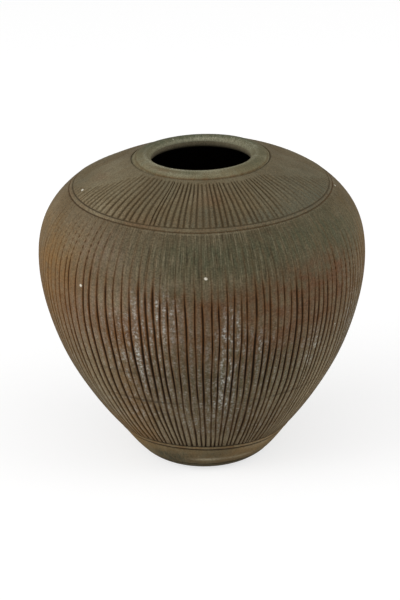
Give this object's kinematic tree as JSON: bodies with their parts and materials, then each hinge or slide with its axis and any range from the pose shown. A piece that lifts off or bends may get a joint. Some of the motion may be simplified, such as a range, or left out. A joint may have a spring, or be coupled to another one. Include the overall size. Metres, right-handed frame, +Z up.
{
  "type": "vase",
  "caption": "Large globular unglazed clay vase with a narrow mouth, low rounded collar, combed upright grooves and paired cut rings at shoulder and foot.",
  "frame": {"origin": "middle of the flat base, on the ground", "axes": "+Z up along the vase's turning axis; X and Y are level"},
  "size_m": [0.4, 0.4, 0.392],
  "materials": {
    "base_clay": "unglazed fired clay, matt, gritty",
    "foot_clay": "unglazed fired clay, matt, smoothed on the wheel",
    "lower_clay": "unglazed fired clay, matt, combed, with pale lime bloom",
    "upper_clay": "unglazed fired clay, matt, olive brown",
    "shoulder_clay": "unglazed fired clay, matt, combed, olive brown",
    "collar_clay": "unglazed fired clay, matt, smoothed on the wheel"
  },
  "bodies": {
    "root": {"base_slab": "base_clay", "foot_band": "foot_clay", "lower_body": "lower_clay", "upper_body": "upper_clay", "shoulder": "shoulder_clay", "rim_collar": "collar_clay"}
  },
  "joints": []
}
